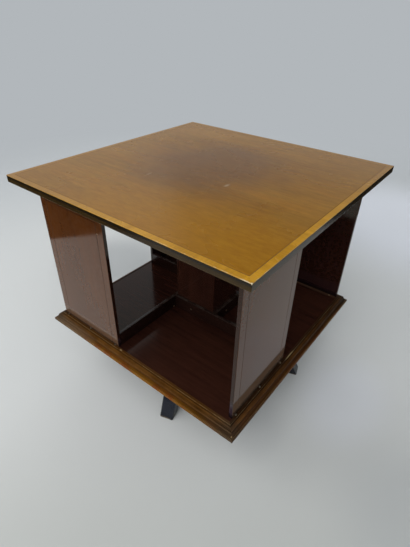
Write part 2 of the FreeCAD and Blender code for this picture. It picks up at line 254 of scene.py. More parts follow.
class Effects:
    """Node groups that several finishes share, each made once."""

    @staticmethod
    def opened(name: str, outputs: Sequence[str],
               **defaults: object) -> tuple[Sketch, Sequence[NodeSocket], Node]:
        """Opens a new node group that reads a place and other values.

        Args:
            name: the group's name.
            outputs: names of its outputs, all plain values.
            defaults: default of each input but the place, with _ for a space in its name.

        Returns:
            The group's sketch, its input sockets and its output node.
        """
        sketch = Sketch(bpy.data.node_groups.new(name, "ShaderNodeTree"))
        for label, default in {"Vector": ORIGIN, **defaults}.items():
            kind = "NodeSocketVector" if isinstance(default, tuple) else "NodeSocketFloat"
            socket = sketch.tree.interface.new_socket(label.replace("_", " "), in_out="INPUT", socket_type=kind)
            socket.default_value = default
        for label in outputs:
            sketch.tree.interface.new_socket(label, in_out="OUTPUT", socket_type="NodeSocketFloat")
        return sketch, sketch.node("NodeGroupInput").outputs, sketch.node("NodeGroupOutput")

    @staticmethod
    @cache
    def timber() -> NodeTree:
        """Makes the broad figure, fine streaks and open pores of a board whose fibres run along X.

        Returns:
            The group, with outputs Figure, Streak and Pore.
        """
        sketch, given, result = Effects.opened("timber", ("Figure", "Streak", "Pore"), Broad=9.0, Fine=130.0, Stir=0.9)
        broad, fine, pored = (sketch.mapped(given["Vector"], (along, 1.0, 1.0)) for along in (0.22, 0.06, 0.045))
        figure = sketch.noise(broad, given["Broad"], 5.0, 0.55, given["Stir"])
        streak = sketch.noise(fine, given["Fine"], 3.0, 0.6, 0.25)
        pore = sketch.noise(pored, 850.0, 1.0)
        sketch.fill(result, Figure=sketch.span(figure, 0.3, 0.7), Streak=sketch.span(streak, 0.25, 0.75),
                    Pore=sketch.span(pore, 0.6, 0.72))
        return sketch.tree

    @staticmethod
    @cache
    def rubbed_arris() -> NodeTree:
        """Makes a broken line of wear on the arris of a square outline at one height.

        Returns:
            The group, with the output Mask.
        """
        sketch, given, result = Effects.opened("rubbed_arris", ("Mask",), Half_Side=0.24, Height=0.42, Reach=0.0012,
                                               Keep=0.5)
        place = given["Vector"]
        far, height = sketch.outward(place)
        inward = sketch.math("SUBTRACT", given["Half Side"], far)
        drop = sketch.math("ABSOLUTE", sketch.math("SUBTRACT", height, given["Height"]))
        away = sketch.math("DIVIDE", sketch.most(inward, drop), given["Reach"])
        ragged = sketch.math("ADD", away, sketch.times(sketch.noise(place, 260.0, 2.0), 0.9))
        broken = sketch.math("GREATER_THAN", sketch.noise(place, 21.0, 4.0, 0.7), given["Keep"])
        soft = sketch.math("MULTIPLY_ADD", broken, 0.75, 0.25)
        sketch.fill(result, Mask=sketch.math("MULTIPLY", sketch.span(ragged, 1.5, 0.8), soft, clamp=True))
        return sketch.tree

    @staticmethod
    @cache
    def handling() -> NodeTree:
        """Makes the specks, hairline scratches and cloudy patches left by years of handling.

        Returns:
            The group, with outputs Speck, Scratch and Cloud.
        """
        sketch, given, result = Effects.opened("handling", ("Speck", "Scratch", "Cloud"))
        place = given["Vector"]
        cells = sketch.node("ShaderNodeTexVoronoi", in_Vector=place, in_Scale=34.0, in_Randomness=1.0).outputs
        chance, size, _ = sketch.node("ShaderNodeSeparateColor", in_Color=cells["Color"]).outputs
        dot = sketch.math("LESS_THAN", cells["Distance"], sketch.times(size, 0.035))
        lines: object = 0.0
        for turn in (0.35, 1.3, 2.45):
            swung = sketch.mapped(place, (0.035, 1.0, 0.3), (0.0, 0.2, turn))
            lines = sketch.most(lines, sketch.span(sketch.noise(swung, 420.0, 1.0, 0.4), 0.72, 0.78))
        gate = sketch.span(sketch.noise(place, 13.0, 2.0), 0.48, 0.62)
        sketch.fill(result, Speck=sketch.times(dot, sketch.math("GREATER_THAN", chance, 0.8)),
                    Scratch=sketch.times(lines, gate),
                    Cloud=sketch.span(sketch.noise(place, 6.5, 4.0, 0.6, 0.4), 0.32, 0.68))
        return sketch.tree

    @staticmethod
    @cache
    def pool() -> NodeTree:
        """Makes a soft oval patch round a point, with a wandering edge.

        Returns:
            The group, with the output Mask.
        """
        sketch, given, result = Effects.opened("pool", ("Mask",), Centre=ORIGIN, Spread=(0.1, 0.1, 1.0), Wander=0.5)
        offset = sketch.vector("SUBTRACT", given["Vector"], given["Centre"])["Vector"]
        ratio = sketch.vector("DIVIDE", offset, given["Spread"])["Vector"]
        wave = sketch.math("SUBTRACT", sketch.noise(given["Vector"], 14.0), 0.5)
        rim = sketch.math("MULTIPLY_ADD", wave, given["Wander"], sketch.vector("LENGTH", ratio)["Value"])
        sketch.fill(result, Mask=sketch.span(rim, 1.25, 0.35))
        return sketch.tree


# ---- finishes ----
@dataclass(frozen=True)
class RubbedLine:
    """Where and how strongly an arris is worn through to pale wood."""

    half_side: float
    height: float
    reach: float
    keep: float
    strength: float


@dataclass(frozen=True)
class Patch:
    """Soft patch where the finish is gone, marked or of another tone, and how much its edge wanders."""

    centre: Place
    spread: Place
    strength: float
    wander: float = 0.6


class Paint(Sketch):
    """A material in the making: its nodes, its shader and the colour laid so far."""

    def __init__(self, name: str) -> None:
        """Opens the material.

        Args:
            name: the finish's name.
        """
        self.material = bpy.data.materials.new(name)
        self.material.use_nodes = True
        super().__init__(self.material.node_tree)
        self.shader = self.tree.nodes["Principled BSDF"]
        self.place = self.node("ShaderNodeTexCoord").outputs["Object"]
        self.colour: object = ORIGIN

    def lay(self, share: object, tone: object) -> None:
        """Lays a tone over the colour, where share is how much of it shows."""
        self.colour = self.mix(share, self.colour, tone)

    def tint(self, share: object, tone: Colour) -> None:
        """Multiplies the colour by a tone, where share is how much of that shows."""
        self.lay(share, self.mix(1.0, self.colour, tone, "MULTIPLY"))

    def patch(self, patch: Patch, place: object = None) -> NodeSocket:
        """Draws the mask of a patch.

        Args:
            patch: the patch.
            place: where it is read, if that isn't the plain place.

        Returns:
            The patch's mask at its strength.
        """
        mask = self.group(Effects.pool(), Vector=self.place if place is None else place, Centre=patch.centre,
                          Spread=patch.spread, Wander=patch.wander)
        return self.times(mask[0], patch.strength)

    def height(self) -> NodeSocket:
        """Measures the height of the place."""
        return self.node("ShaderNodeSeparateXYZ", in_Vector=self.place).outputs[2]

    def shade(self, **values: object) -> None:
        """Feeds the shader's inputs by name."""
        self.fill(self.shader, **values)

    def relief(self, height: object, depth: float) -> None:
        """Gives the surface a relief that is depth deep, in metres, where height is 1."""
        self.shade(Normal=self.node("ShaderNodeBump", in_Strength=1.0, in_Distance=depth, in_Height=height).outputs[0])


@dataclass(frozen=True)
class Finish:
    """Base of all finishes: a name and the way to make the material."""

    name: str

    def make(self) -> Material:
        """Makes the material.

        Returns:
            The finished material.
        """
        paint = Paint(self.name)
        self.coat(paint)
        return paint.material

    def coat(self, paint: Paint) -> None:
        """Leaves the material plain; each kind of finish has its own way."""


@dataclass(frozen=True)
class Timber(Finish):
    """Polished solid wood or veneer with figure, pores, handling marks and worn arrises."""

    grain: Grain
    dark: Colour
    light: Colour
    pore: Colour
    roughness: float
    worn: Colour = (0.5, 0.3, 0.12)
    broad: float = 9.0
    fine: float = 130.0
    stir: float = 0.9
    streak_share: float = 0.45
    pore_strength: float = 0.5
    relief_depth: float = 0.04 * MM
    cloud: float = 0.25
    specular: float = 0.5
    gloss_tint: Colour = (1.0, 1.0, 1.0)
    scratch: float = 0.1
    speck: float = 0.7
    worn_roughness: float = 0.35
    streak_rise: float = 0.3
    pore_fall: float = 0.6
    rubbed: tuple[RubbedLine, ...] = ()
    chips: tuple[Patch, ...] = ()
    shift: Place = ORIGIN

    def coat(self, paint: Paint) -> None:
        """Lays the wood, what lies over it and the wear, and sets the gloss.

        Args:
            paint: the material in the making.
        """
        laid = paint.mapped(paint.place, (1.0, 1.0, 1.0), self.grain.value, self.shift)
        figure, streak, pore = paint.group(Effects.timber(), Vector=laid, Broad=self.broad, Fine=self.fine,
                                           Stir=self.stir)
        speck, scratch, cloud = paint.group(Effects.handling(), Vector=paint.place)
        depth = paint.math("MULTIPLY_ADD", streak, self.streak_share, paint.times(figure, 1 - self.streak_share))
        paint.colour = paint.mix(depth, self.dark, self.light)
        paint.lay(paint.times(pore, self.pore_strength), self.pore)
        self.extra(paint)
        pale = paint.times(speck, self.speck)
        for line in self.rubbed:
            mask = paint.group(Effects.rubbed_arris(), Vector=paint.place, Half_Side=line.half_side,
                               Height=line.height, Reach=line.reach, Keep=line.keep)
            pale = paint.most(pale, paint.times(mask[0], line.strength))
        for chip in self.chips:
            pale = paint.most(pale, paint.patch(chip))
        paint.lay(pale, self.worn)
        dull = paint.math("MULTIPLY_ADD", cloud, self.roughness * self.cloud, self.roughness)
        dull = paint.math("MULTIPLY_ADD", scratch, self.scratch, dull)
        dull = paint.math("MULTIPLY_ADD", pale, self.worn_roughness, dull, clamp=True)
        paint.shade(Base_Color=paint.colour, Roughness=dull, Specular_IOR_Level=self.specular,
                    Specular_Tint=self.gloss_tint)
        height = paint.math("SUBTRACT", paint.times(streak, self.streak_rise), paint.times(pore, self.pore_fall))
        paint.relief(paint.math("SUBTRACT", height, paint.times(scratch, self.scratch)), self.relief_depth)

    def extra(self, paint: Paint) -> None:
        """Lays nothing more; kinds of timber with more to show lay it here."""


@dataclass(frozen=True)
class FadedVeneer(Timber):
    """Top veneer: bleached by light round a darker pool where something stood."""

    pool: Colour = (0.2, 0.097, 0.038)
    pool_patch: Patch = Patch((-0.015, 0.012, 0.42), (0.15, 0.15, 1.0), 0.8, 0.7)
    rim: Colour = (0.375, 0.185, 0.026)
    rim_share: float = 0.4
    rim_from: float = 0.15
    rim_to: float = 0.235
    # Painted sheen: a warmer orange laid on the veneer towards the front corner, standing in for how the sheen falls
    # across the top.
    painted_sheen_warm: Colour = (0.42, 0.183, 0.0035)
    painted_sheen_patch: Patch = Patch((0.14, -0.23, 0.42), (0.25, 0.15, 1.0), 0.75, 0.5)
    ruddy: Colour = (1.0, 0.91, 0.72)
    deep_fleck: Colour = (0.8, 0.76, 0.62)

    def extra(self, paint: Paint) -> None:
        """Lays the dark pool, the bleached border, a painted sheen that warms the veneer towards the front corner and
        the mottling over the veneer.

        Args:
            paint: the material in the making.
        """
        paint.lay(paint.patch(self.pool_patch), self.pool)
        streaks = paint.mapped(paint.place, (0.3, 1.0, 1.0))
        paint.tint(paint.span(paint.noise(streaks, 70.0, 4.0, 0.7), 0.35, 0.65), self.ruddy)
        edge = paint.span(paint.outward(paint.place)[0], self.rim_from, self.rim_to)
        paint.lay(paint.times(edge, self.rim_share), self.rim)
        # Painted sheen: warmer towards the front corner.
        paint.lay(paint.patch(self.painted_sheen_patch), self.painted_sheen_warm)
        paint.tint(paint.span(paint.noise(streaks, 150.0, 5.0, 0.75), 0.68, 0.32), self.deep_fleck)


@dataclass(frozen=True)
class Crossbanding(Timber):
    """Crossbanding: golden by the front corner, painted duller away from it as the sheen falls across the top."""

    # Painted sheen: the dull tone laid away from the front corner.
    dull: Colour = (0.33, 0.165, 0.04)
    dull_share: float = 0.8
    dull_from: float = 0.16
    dull_to: float = 0.46
    painted_sheen_corner: Place = (0.24, -0.24, 0.42)

    def extra(self, paint: Paint) -> None:
        """Paints the banding duller away from the front corner, a painted sheen difference.

        Args:
            paint: the material in the making.
        """
        away = paint.vector("DISTANCE", paint.place, self.painted_sheen_corner)["Value"]
        paint.lay(paint.span(away, self.dull_from, self.dull_to, 0.0, self.dull_share), self.dull)


@dataclass(frozen=True)
class LippingPolish(Timber):
    """Lipping polish, blackest along its upper arris."""

    black: Colour = (0.008, 0.006, 0.004)
    black_share: float = 0.85
    black_from: float = 0.4125
    black_to: float = 0.4165

    def extra(self, paint: Paint) -> None:
        """Blackens the lipping towards its upper arris.

        Args:
            paint: the material in the making.
        """
        paint.lay(paint.span(paint.height(), self.black_from, self.black_to, 0.0, self.black_share), self.black)


@dataclass(frozen=True)
class PanelPolish(Timber):
    """Panel mahogany: faded red-brown with a cloudy bloom outside; a painted sheen band and painted shade with dirt at
    the foot; painted shade on its inner face and its edges.
    """

    outer_face: float = 0.20795
    face_fade: float = 0.2 * MM
    # Painted shade: multiplies the colour inside the bays darker and bluer.
    inner_shade_tint: Colour = (0.26, 0.26, 0.55)
    line_height: float = 0.378
    line_width: float = 1.5 * MM
    over_line: float = 0.5
    foot: float = 0.124
    # Painted shade with some dirt: a dark band at the panel's foot, where it meets the base.
    foot_shade_and_grime: Colour = (0.022, 0.012, 0.0075)
    foot_shade_and_dirt: float = 0.9
    # Shared by the bloom mottling and by a painted sheen band at the foot that stands in for the floor's reflection
    # cut off by the moulding.
    bloom_and_painted_sheen: Colour = (0.21, 0.16, 0.12)
    foot_band_height: float = 30 * MM
    painted_sheen_share: float = 0.12
    bloom: float = 0.1

    def extra(self, paint: Paint) -> None:
        """Darkens the strip over the scratched line, lays the bloom, paints a pale sheen band and a band of shade and
        dirt at the foot, and paints shade on the inner face.

        Args:
            paint: the material in the making.
        """
        far, height = paint.outward(paint.place)
        over = paint.span(height, self.line_height, self.line_height + self.line_width)
        paint.lay(paint.times(over, self.over_line), self.dark)
        sheen_ends, sheen_full, foot_dark_ends, foot_dark_full = (
            self.foot + self.foot_band_height * share for share in (1.45, 0.9, 0.5, 0.1))
        # Painted sheen: a pale band at the foot in place of the floor's reflection.
        painted_sheen_band = paint.times(paint.span(height, sheen_ends, sheen_full), self.painted_sheen_share)
        clouded = paint.span(paint.noise(paint.place, 110.0, 5.0, 0.7), 0.35, 0.65, 0.0, self.bloom)
        paint.lay(paint.most(painted_sheen_band, clouded), self.bloom_and_painted_sheen)
        # Painted shade with dirt: darker towards the foot.
        paint.lay(paint.times(paint.span(height, foot_dark_ends, foot_dark_full), self.foot_shade_and_dirt), self.foot_shade_and_grime)
        # Painted shade on the inner face.
        paint.tint(paint.span(far, self.outer_face, self.outer_face - self.face_fade), self.inner_shade_tint)


@dataclass(frozen=True)
class DustyTimber(Timber):
    """Timber with a film of dust on it above one height."""

    dusty_from: float = 1.0
    dust: Colour = (0.05, 0.04, 0.033)

    def extra(self, paint: Paint) -> None:
        """Lays the dust over the polish.

        Args:
            paint: the material in the making.
        """
        high = paint.math("GREATER_THAN", paint.height(), self.dusty_from)
        patchy = paint.span(paint.noise(paint.place, 60.0), 0.35, 0.65, 0.1, 0.7)
        paint.lay(paint.times(high, patchy), self.dust)


@dataclass(frozen=True)
class MouldingPolish(Timber):
    """Moulding polish: painted shade with dirt by the case and in the quirk, a painted highlight on the bead, rubbed
    to golden brown on the lip.
    """

    golden: Colour = (0.23, 0.092, 0.003)
    reddish: Colour = (0.2, 0.05, 0.003)
    # Painted highlight on the bead.
    bead_highlight: Colour = (0.165, 0.068, 0.012)
    # Painted shade with dirt, for the margin beside the case and the quirk.
    grime_and_shade: Colour = (0.012, 0.006, 0.004)
    corner_dirt: Colour = (0.04, 0.028, 0.017)
    corner_patch: Patch = Patch((0.224, 0.224, 0.115), (0.03, 0.03, 1.0), 0.6, 0.5)
    # Pale spots on the lip: dust with a painted sheen.
    dust: Colour = (0.15, 0.1, 0.06)
    dust_and_sheen_spots: tuple[Patch, ...] = ()
    held: Patch = Patch((0.0, 0.0, 0.11), (0.19, 0.19, 1.0), 1.0, 0.5)
    margin_shade_and_dirt: float = 0.45
    quirk_shade_and_dirt: float = 0.85
    bead_shine: float = 0.35
    rub_share: float = 0.5
    margin_edge: float = 0.2128
    margin_gap: float = 0.5 * MM
    quirk_end: float = 0.2141
    cove_start: float = 0.2199
    cove_fade: float = 3 * MM
    lip_start: float = 0.2246
    lip_fade: float = 0.4 * MM

    def extra(self, paint: Paint) -> None:
        """Lays the wear, a painted bead highlight, painted shade with dirt by the case and in the quirk, and pale
        spots of dust with painted sheen over the moulding, zone by zone.

        Args:
            paint: the material in the making.
        """
        place = paint.place
        far, _ = paint.outward(place)
        # Painted highlight: a lighter tone on the bead, broken by noise.
        shiny = paint.span(paint.noise(place, 45.0), 0.35, 0.65, 0.1, self.bead_shine)
        paint.lay(paint.times(paint.between(far, self.quirk_end, self.cove_start), shiny), self.bead_highlight)
        cove = paint.span(far, self.cove_start, self.cove_start + self.cove_fade, 0.0, self.rub_share)
        lip = paint.span(far, self.lip_start - self.lip_fade, self.lip_start + self.lip_fade, 0.0, self.rub_share)
        rubbed = paint.times(paint.math("ADD", cove, lip), paint.patch(self.held))
        paint.lay(rubbed, paint.mix(paint.span(paint.noise(place, 38.0, 2.0), 0.42, 0.58), self.golden, self.reddish))
        # Painted shade with dirt: darker on the margin by the case and in the quirk.
        margin = paint.times(paint.math("LESS_THAN", far, self.margin_edge - self.margin_gap), self.margin_shade_and_dirt)
        quirk = paint.times(paint.between(far, self.margin_edge, self.quirk_end), self.quirk_shade_and_dirt)
        paint.lay(paint.most(margin, quirk), self.grime_and_shade)
        paint.lay(paint.patch(self.corner_patch, paint.vector("ABSOLUTE", place)["Vector"]), self.corner_dirt)
        # Pale spots: dust with a painted sheen.
        for spot in self.dust_and_sheen_spots:
            paint.lay(paint.patch(spot), self.dust)


@dataclass(frozen=True)
class Ebonised(Timber):
    """Black-stained wood, scuffed to bare wood near the floor."""

    scuff_height: float = 4 * MM

    def extra(self, paint: Paint) -> None:
        """Lays the scuffs near the floor over the black.

        Args:
            paint: the material in the making.
        """
        low = paint.span(paint.height(), self.scuff_height, 0.0)
        broken = paint.span(paint.noise(paint.place, 110.0, 3.0, 0.6), 0.45, 0.6)
        paint.lay(paint.times(low, broken), self.worn)


@dataclass(frozen=True)
class Metal(Finish):
    """Old metal: brushed, slightly tarnished in patches."""

    bright: Colour
    dull: Colour
    roughness: float
    tarnish_roughness: float = 0.3
    brush_depth: float = 0.02 * MM

    def coat(self, paint: Paint) -> None:
        """Lays the tarnish and the brush marks.

        Args:
            paint: the material in the making.
        """
        patches = paint.span(paint.noise(paint.place, 190.0, 4.0, 0.65), 0.4, 0.68)
        paint.shade(Base_Color=paint.mix(patches, self.bright, self.dull), Metallic=1.0,
                    Roughness=paint.math("MULTIPLY_ADD", patches, self.tarnish_roughness, self.roughness))
        paint.relief(paint.noise(paint.mapped(paint.place, (1.0, 1.0, 9.0)), 700.0, 2.0, 0.6), self.brush_depth)


@dataclass(frozen=True)
class StudioPaper(Finish):
    """Matt pale floor and wall: painted shade makes it greyer and warmer close in on one side, painted light and
    painted shadows lie in patches, one even tone all round further out.
    """

    # The near tone is painted shade on the floor on one side.
    near: Colour = (0.61, 0.625, 0.59)
    middle: Colour = (0.77, 0.785, 0.775)
    far: Colour = (0.662, 0.686, 0.698)
    toward: Place = (0.62, -0.78, 0.0)
    near_shade_from: float = 0.1
    near_shade_to: float = 0.6
    far_from: float = 0.5
    far_to: float = 1.4
    backdrop: Colour = (0.445, 0.473, 0.497)
    backdrop_from: float = 1.2
    backdrop_to: float = 2.0
    # Painted light: pale pools on the floor.
    pale: Colour = (0.87, 0.895, 0.95)
    painted_light_patches: tuple[Patch, ...] = (Patch((0.2, 0.98, 0.0), (0.5, 0.42, 1.0), 1.0, 0.0),
                                       Patch((0.31, 0.06, 0.0), (0.09, 0.13, 1.0), 0.55, 0.0))
    shadow: Colour = (0.52, 0.54, 0.545)
    shaded_patches: tuple[Patch, ...] = (Patch((-0.43, 0.11, 0.0), (0.17, 0.17, 1.0), 0.8, 0.0),
                                         Patch((0.52, -0.1, 0.0), (0.16, 0.16, 1.0), 0.5, 0.0),
                                         Patch((0.215, -0.115, 0.0), (0.05, 0.07, 1.0), 0.3, 0.0))
    mottle: Colour = (0.5, 0.52, 0.53)
    mottle_share: float = 0.03

    def coat(self, paint: Paint) -> None:
        """Lays the floor's tones with their painted shade, painted light and painted shadows, and the even tone that
        is looked at further out.

        Args:
            paint: the material in the making.
        """
        along = paint.vector("DOT_PRODUCT", paint.place, self.toward)["Value"]
        away = paint.vector("LENGTH", paint.place)["Value"]
        paint.colour = paint.mix(paint.span(along, self.near_shade_from, self.near_shade_to), self.middle, self.near)
        paint.lay(paint.span(away, self.far_from, self.far_to), self.far)
        # Painted light and painted shadow patches on the floor.
        for tone, patches in ((self.pale, self.painted_light_patches), (self.shadow, self.shaded_patches)):
            for patch in patches:
                paint.lay(paint.patch(patch), tone)
        paint.lay(paint.span(paint.noise(paint.place, 2.2), 0.3, 0.7, 0.0, self.mottle_share), self.mottle)
        paint.shade(Base_Color=paint.colour, Roughness=MATT, Specular_IOR_Level=0.1)
        rays = paint.node("ShaderNodeLightPath").outputs
        mirrored = paint.math("ADD", rays["Is Glossy Ray"], rays["Is Transmission Ray"])
        looked_at = paint.math("ADD", rays["Is Camera Ray"], mirrored, clamp=True)
        share = paint.times(looked_at, paint.span(away, self.backdrop_from, self.backdrop_to))
        even = paint.node("ShaderNodeEmission", in_Color=self.backdrop, in_Strength=1.0)
        blend = paint.node("ShaderNodeMixShader")
        for socket, value in zip(blend.inputs, (share, paint.shader.outputs[0], even.outputs[0])):
            paint.feed(socket, value)
        paint.fill(paint.tree.nodes["Material Output"], Surface=blend.outputs[0])
        paint.material.cycles.emission_sampling = "NONE"


@dataclass(frozen=True)
class DarkCloth(Finish):
    """Dark matt cloth of the screens."""

    colour: Colour = (0.035, 0.033, 0.03)
    weave: Colour = (0.02, 0.02, 0.02)
    weave_share: float = 0.4

    def coat(self, paint: Paint) -> None:
        """Lays the weave.

        Args:
            paint: the material in the making.
        """
        woven = paint.span(paint.noise(paint.place, 30.0), 0.3, 0.7, 0.0, self.weave_share)
        paint.shade(Base_Color=paint.mix(woven, self.colour, self.weave), Roughness=MATT, Specular_IOR_Level=0.0)


# ---- shared bench work ----
@dataclass(frozen=True)
class Easing:
    """How far and how finely edges are eased, and which."""

    width: float
    segments: int = 2
    from_angle: float = 35.0
    from_length: float = 4 * MM
    beyond: float = 0.0

    def takes(self, edge: bmesh.types.BMEdge) -> bool:
        """Tests whether an edge is sharp, long and far enough from the swivel to be eased.

        Args:
            edge: the edge.

        Returns:
            Whether it is eased.
        """
        return (len(edge.link_faces) == 2 and edge.calc_face_angle() > math.radians(self.from_angle)
                and edge.calc_length() > self.from_length
                and all(vert.co.xy.length >= self.beyond for vert in edge.verts))


def joined(node: str) -> BMesh:
    """Copies a node's mesh and joins its loose triangles.

    Args:
        node: the node's name.

    Returns:
        The joined mesh, still open for work.
    """
    mesh = bmesh.new()
    mesh.from_mesh(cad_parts[node].data)
    bmesh.ops.remove_doubles(mesh, verts=mesh.verts, dist=NODE_WELD)
    return mesh


def placed(name: str, mesh: BMesh, material: Material) -> Object:
    """Makes an object of an open mesh.

    Args:
        name: the object's name.
        mesh: the open mesh, which is closed here.
        material: its finish.

    Returns:
        The new object.
    """
    data = bpy.data.meshes.new(name)
    mesh.normal_update()
    mesh.to_mesh(data)
    mesh.free()
    data.materials.append(material)
    made = bpy.data.objects.new(name, data)
    bpy.context.scene.collection.objects.link(made)
    return made


class Bench:
    """Turns the frame's plain solids into eased pieces and dresses solids with finishes."""

    flat_angle = math.radians(0.4)
    smooth_angle = math.radians(40.0)

    def __init__(self) -> None:
        """Starts with an empty list of finished pieces."""
        self.pieces: list[Object] = []

    def eased(self, node: str, *easings: Easing) -> BMesh:
        """Copies a node's mesh and eases its edges.

        Args:
            node: the node's name.
            easings: how the edges are eased, one step after the other.

        Returns:
            The eased mesh, still open for work.
        """
        mesh = joined(node)
        bmesh.ops.dissolve_limit(mesh, angle_limit=self.flat_angle, verts=mesh.verts, edges=mesh.edges)
        for easing in easings:
            edges = [edge for edge in mesh.edges if easing.takes(edge)]
            bmesh.ops.bevel(mesh, geom=edges, offset=easing.width, offset_type="OFFSET", affect="EDGES",
                            segments=easing.segments, profile=0.5, material=-1, clamp_overlap=True)
        return mesh

    def finish(self, name: str, mesh: BMesh, material: Material, body: Body, slot: str, *replaces: str) -> None:
        """Makes a shown piece of an open mesh.

        Args:
            name: the piece's name.
            mesh: the open mesh, which is closed here.
            material: its finish.
            body: the body that it rides on.
            slot: the record's slot for the piece's finish; not used.
            replaces: nodes that the piece stands for.
        """
        piece = placed(name, mesh, material)
        piece.data.shade_smooth()
        piece.data.set_sharp_from_angle(angle=self.smooth_angle)
        piece.modifiers.new("flat faces", "WEIGHTED_NORMAL").keep_sharp = True
        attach(piece, body.value)
        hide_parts(*replaces)
        self.pieces.append(piece)
        log.info("%s: %d faces on %s", name, len(piece.data.polygons), body.value)

    @staticmethod
    def dress(finish: Finish, *nodes: str) -> None:
        """Gives solids of the frame a finish.

        Args:
            finish: the finish.
            nodes: names of the solids.
        """
        material = finish.make()
        for name in nodes:
            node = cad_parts[name]
            if not node.material_slots:
                node.data.materials.append(material)
            for slot in node.material_slots:
                slot.material = material
            log.info("%s: dressed in %s", name, material.name)


# ---- the bookcase ----
FADED_DARK: Colour = (0.071, 0.0205, 0.004)
FADED_LIGHT: Colour = (0.106, 0.0315, 0.0055)
INNER_DARK: Colour = (0.019, 0.0066, 0.0048)
INNER_LIGHT: Colour = (0.048, 0.0165, 0.0098)
MAHOGANY_PORE: Colour = (0.018, 0.006, 0.003)
MAHOGANY_WORN: Colour = (0.42, 0.3, 0.17)
POLISH_ROUGHNESS = 0.07
POLISH_RELIEF = 0.012 * MM


def strayed(shift: float) -> Place:
    """Spreads one number over the three axes, so that the figures of boards differ."""
    return shift, shift * 1.7, shift * 0.6


@dataclass
class SubAssembly:
    """A part of the bookcase that is built on a bench."""

    bench: Bench


@dataclass
class TableTop(SubAssembly):
    """Veneered top: core, field, dark string, golden crossbanding and dark lipping."""

    half_side: float = 0.24
    surface: float = 0.42
    thickness: float = 12 * MM
    easing: Easing = Easing(0.35 * MM)
    corner_wear: tuple[Patch, ...] = (Patch((0.2315, -0.24, 0.4198), (0.009, 0.0008, 0.001), 0.8, 0.9),
                                      Patch((0.2398, -0.2398, 0.4195), (0.0018, 0.0018, 0.0018), 1.0, 0.2))
    field_marks: tuple[Patch, ...] = (Patch((0.063, -0.039, 0.42), (0.0035, 0.008, 1.0), 0.42),
                                      Patch((-0.067, -0.083, 0.42), (0.002, 0.007, 1.0), 0.18))

    def field(self) -> FadedVeneer:
        """Smooth, bleached field veneer.

        Returns:
            The finish.
        """
        return FadedVeneer(
            "faded field veneer", Grain.ALONG_X, (0.245, 0.112, 0.009), (0.455, 0.223, 0.022), (0.12, 0.05, 0.01),
            0.26, gloss_tint=(1.0, 0.97, 0.88), broad=7.0, fine=170.0, stir=0.05, pore_strength=0.25,
            relief_depth=0.01 * MM, scratch=0.01, cloud=0.12, worn=(0.6, 0.5, 0.38), chips=self.field_marks)

    def banding(self, side: str) -> Crossbanding:
        """Golden crossbanding, its fibres running away from the edge.

        Args:
            side: which side of the top.

        Returns:
            The finish.
        """
        return Crossbanding(
            f"crossbanding {side}", Grain.across(side), (0.43, 0.2, 0.008), (0.7, 0.35, 0.02), (0.2, 0.09, 0.02),
            0.26, gloss_tint=(1.0, 0.95, 0.8), scratch=0.02, broad=26.0, fine=420.0, pore_strength=0.25,
            worn=(0.75, 0.68, 0.5), rubbed=(RubbedLine(self.half_side, self.surface, 0.5 * MM, 0.55, 0.6),),
            chips=self.corner_wear)

    def lipping(self, side: str) -> LippingPolish:
        """Dark glossy lipping with rubbed arrises.

        Args:
            side: which side of the top.

        Returns:
            The finish.
        """
        return LippingPolish(
            f"lipping {side}", Grain.along(side), (0.022, 0.012, 0.004), (0.052, 0.03, 0.008),
            (0.01, 0.005, 0.002), 0.14, specular=0.26, gloss_tint=(1.0, 0.94, 0.82), worn=(0.55, 0.4, 0.2),
            broad=16.0, chips=self.corner_wear,
            rubbed=(RubbedLine(self.half_side, self.surface - 1 * MM, 0.6 * MM, 0.66, 0.25),
                    RubbedLine(self.half_side, self.surface - self.thickness, 0.6 * MM, 0.62, 0.6)))

    def build(self) -> None:
        """Builds and dresses the top."""
        bench = self.bench
        bench.dress(self.field(), "field_veneer")
        bench.dress(Timber("string", Grain.ALONG_X, (0.15, 0.06, 0.008), (0.24, 0.1, 0.014), (0.05, 0.02, 0.005),
                           0.4, specular=0.3), *(f"border_string_{side}" for side in SIDES))
        bench.dress(Timber("core underside", Grain.ALONG_X, (0.07, 0.03, 0.012), (0.15, 0.065, 0.022),
                           (0.03, 0.015, 0.008), 0.5), "top_core")
        for side in SIDES:
            bench.dress(self.banding(side), f"border_band_{side}")
            node = f"edge_lipping_{side}"
            bench.finish(f"lipping_{side}", bench.eased(node, self.easing), self.lipping(side).make(), Body.CASE,
                         "top_edge", node)


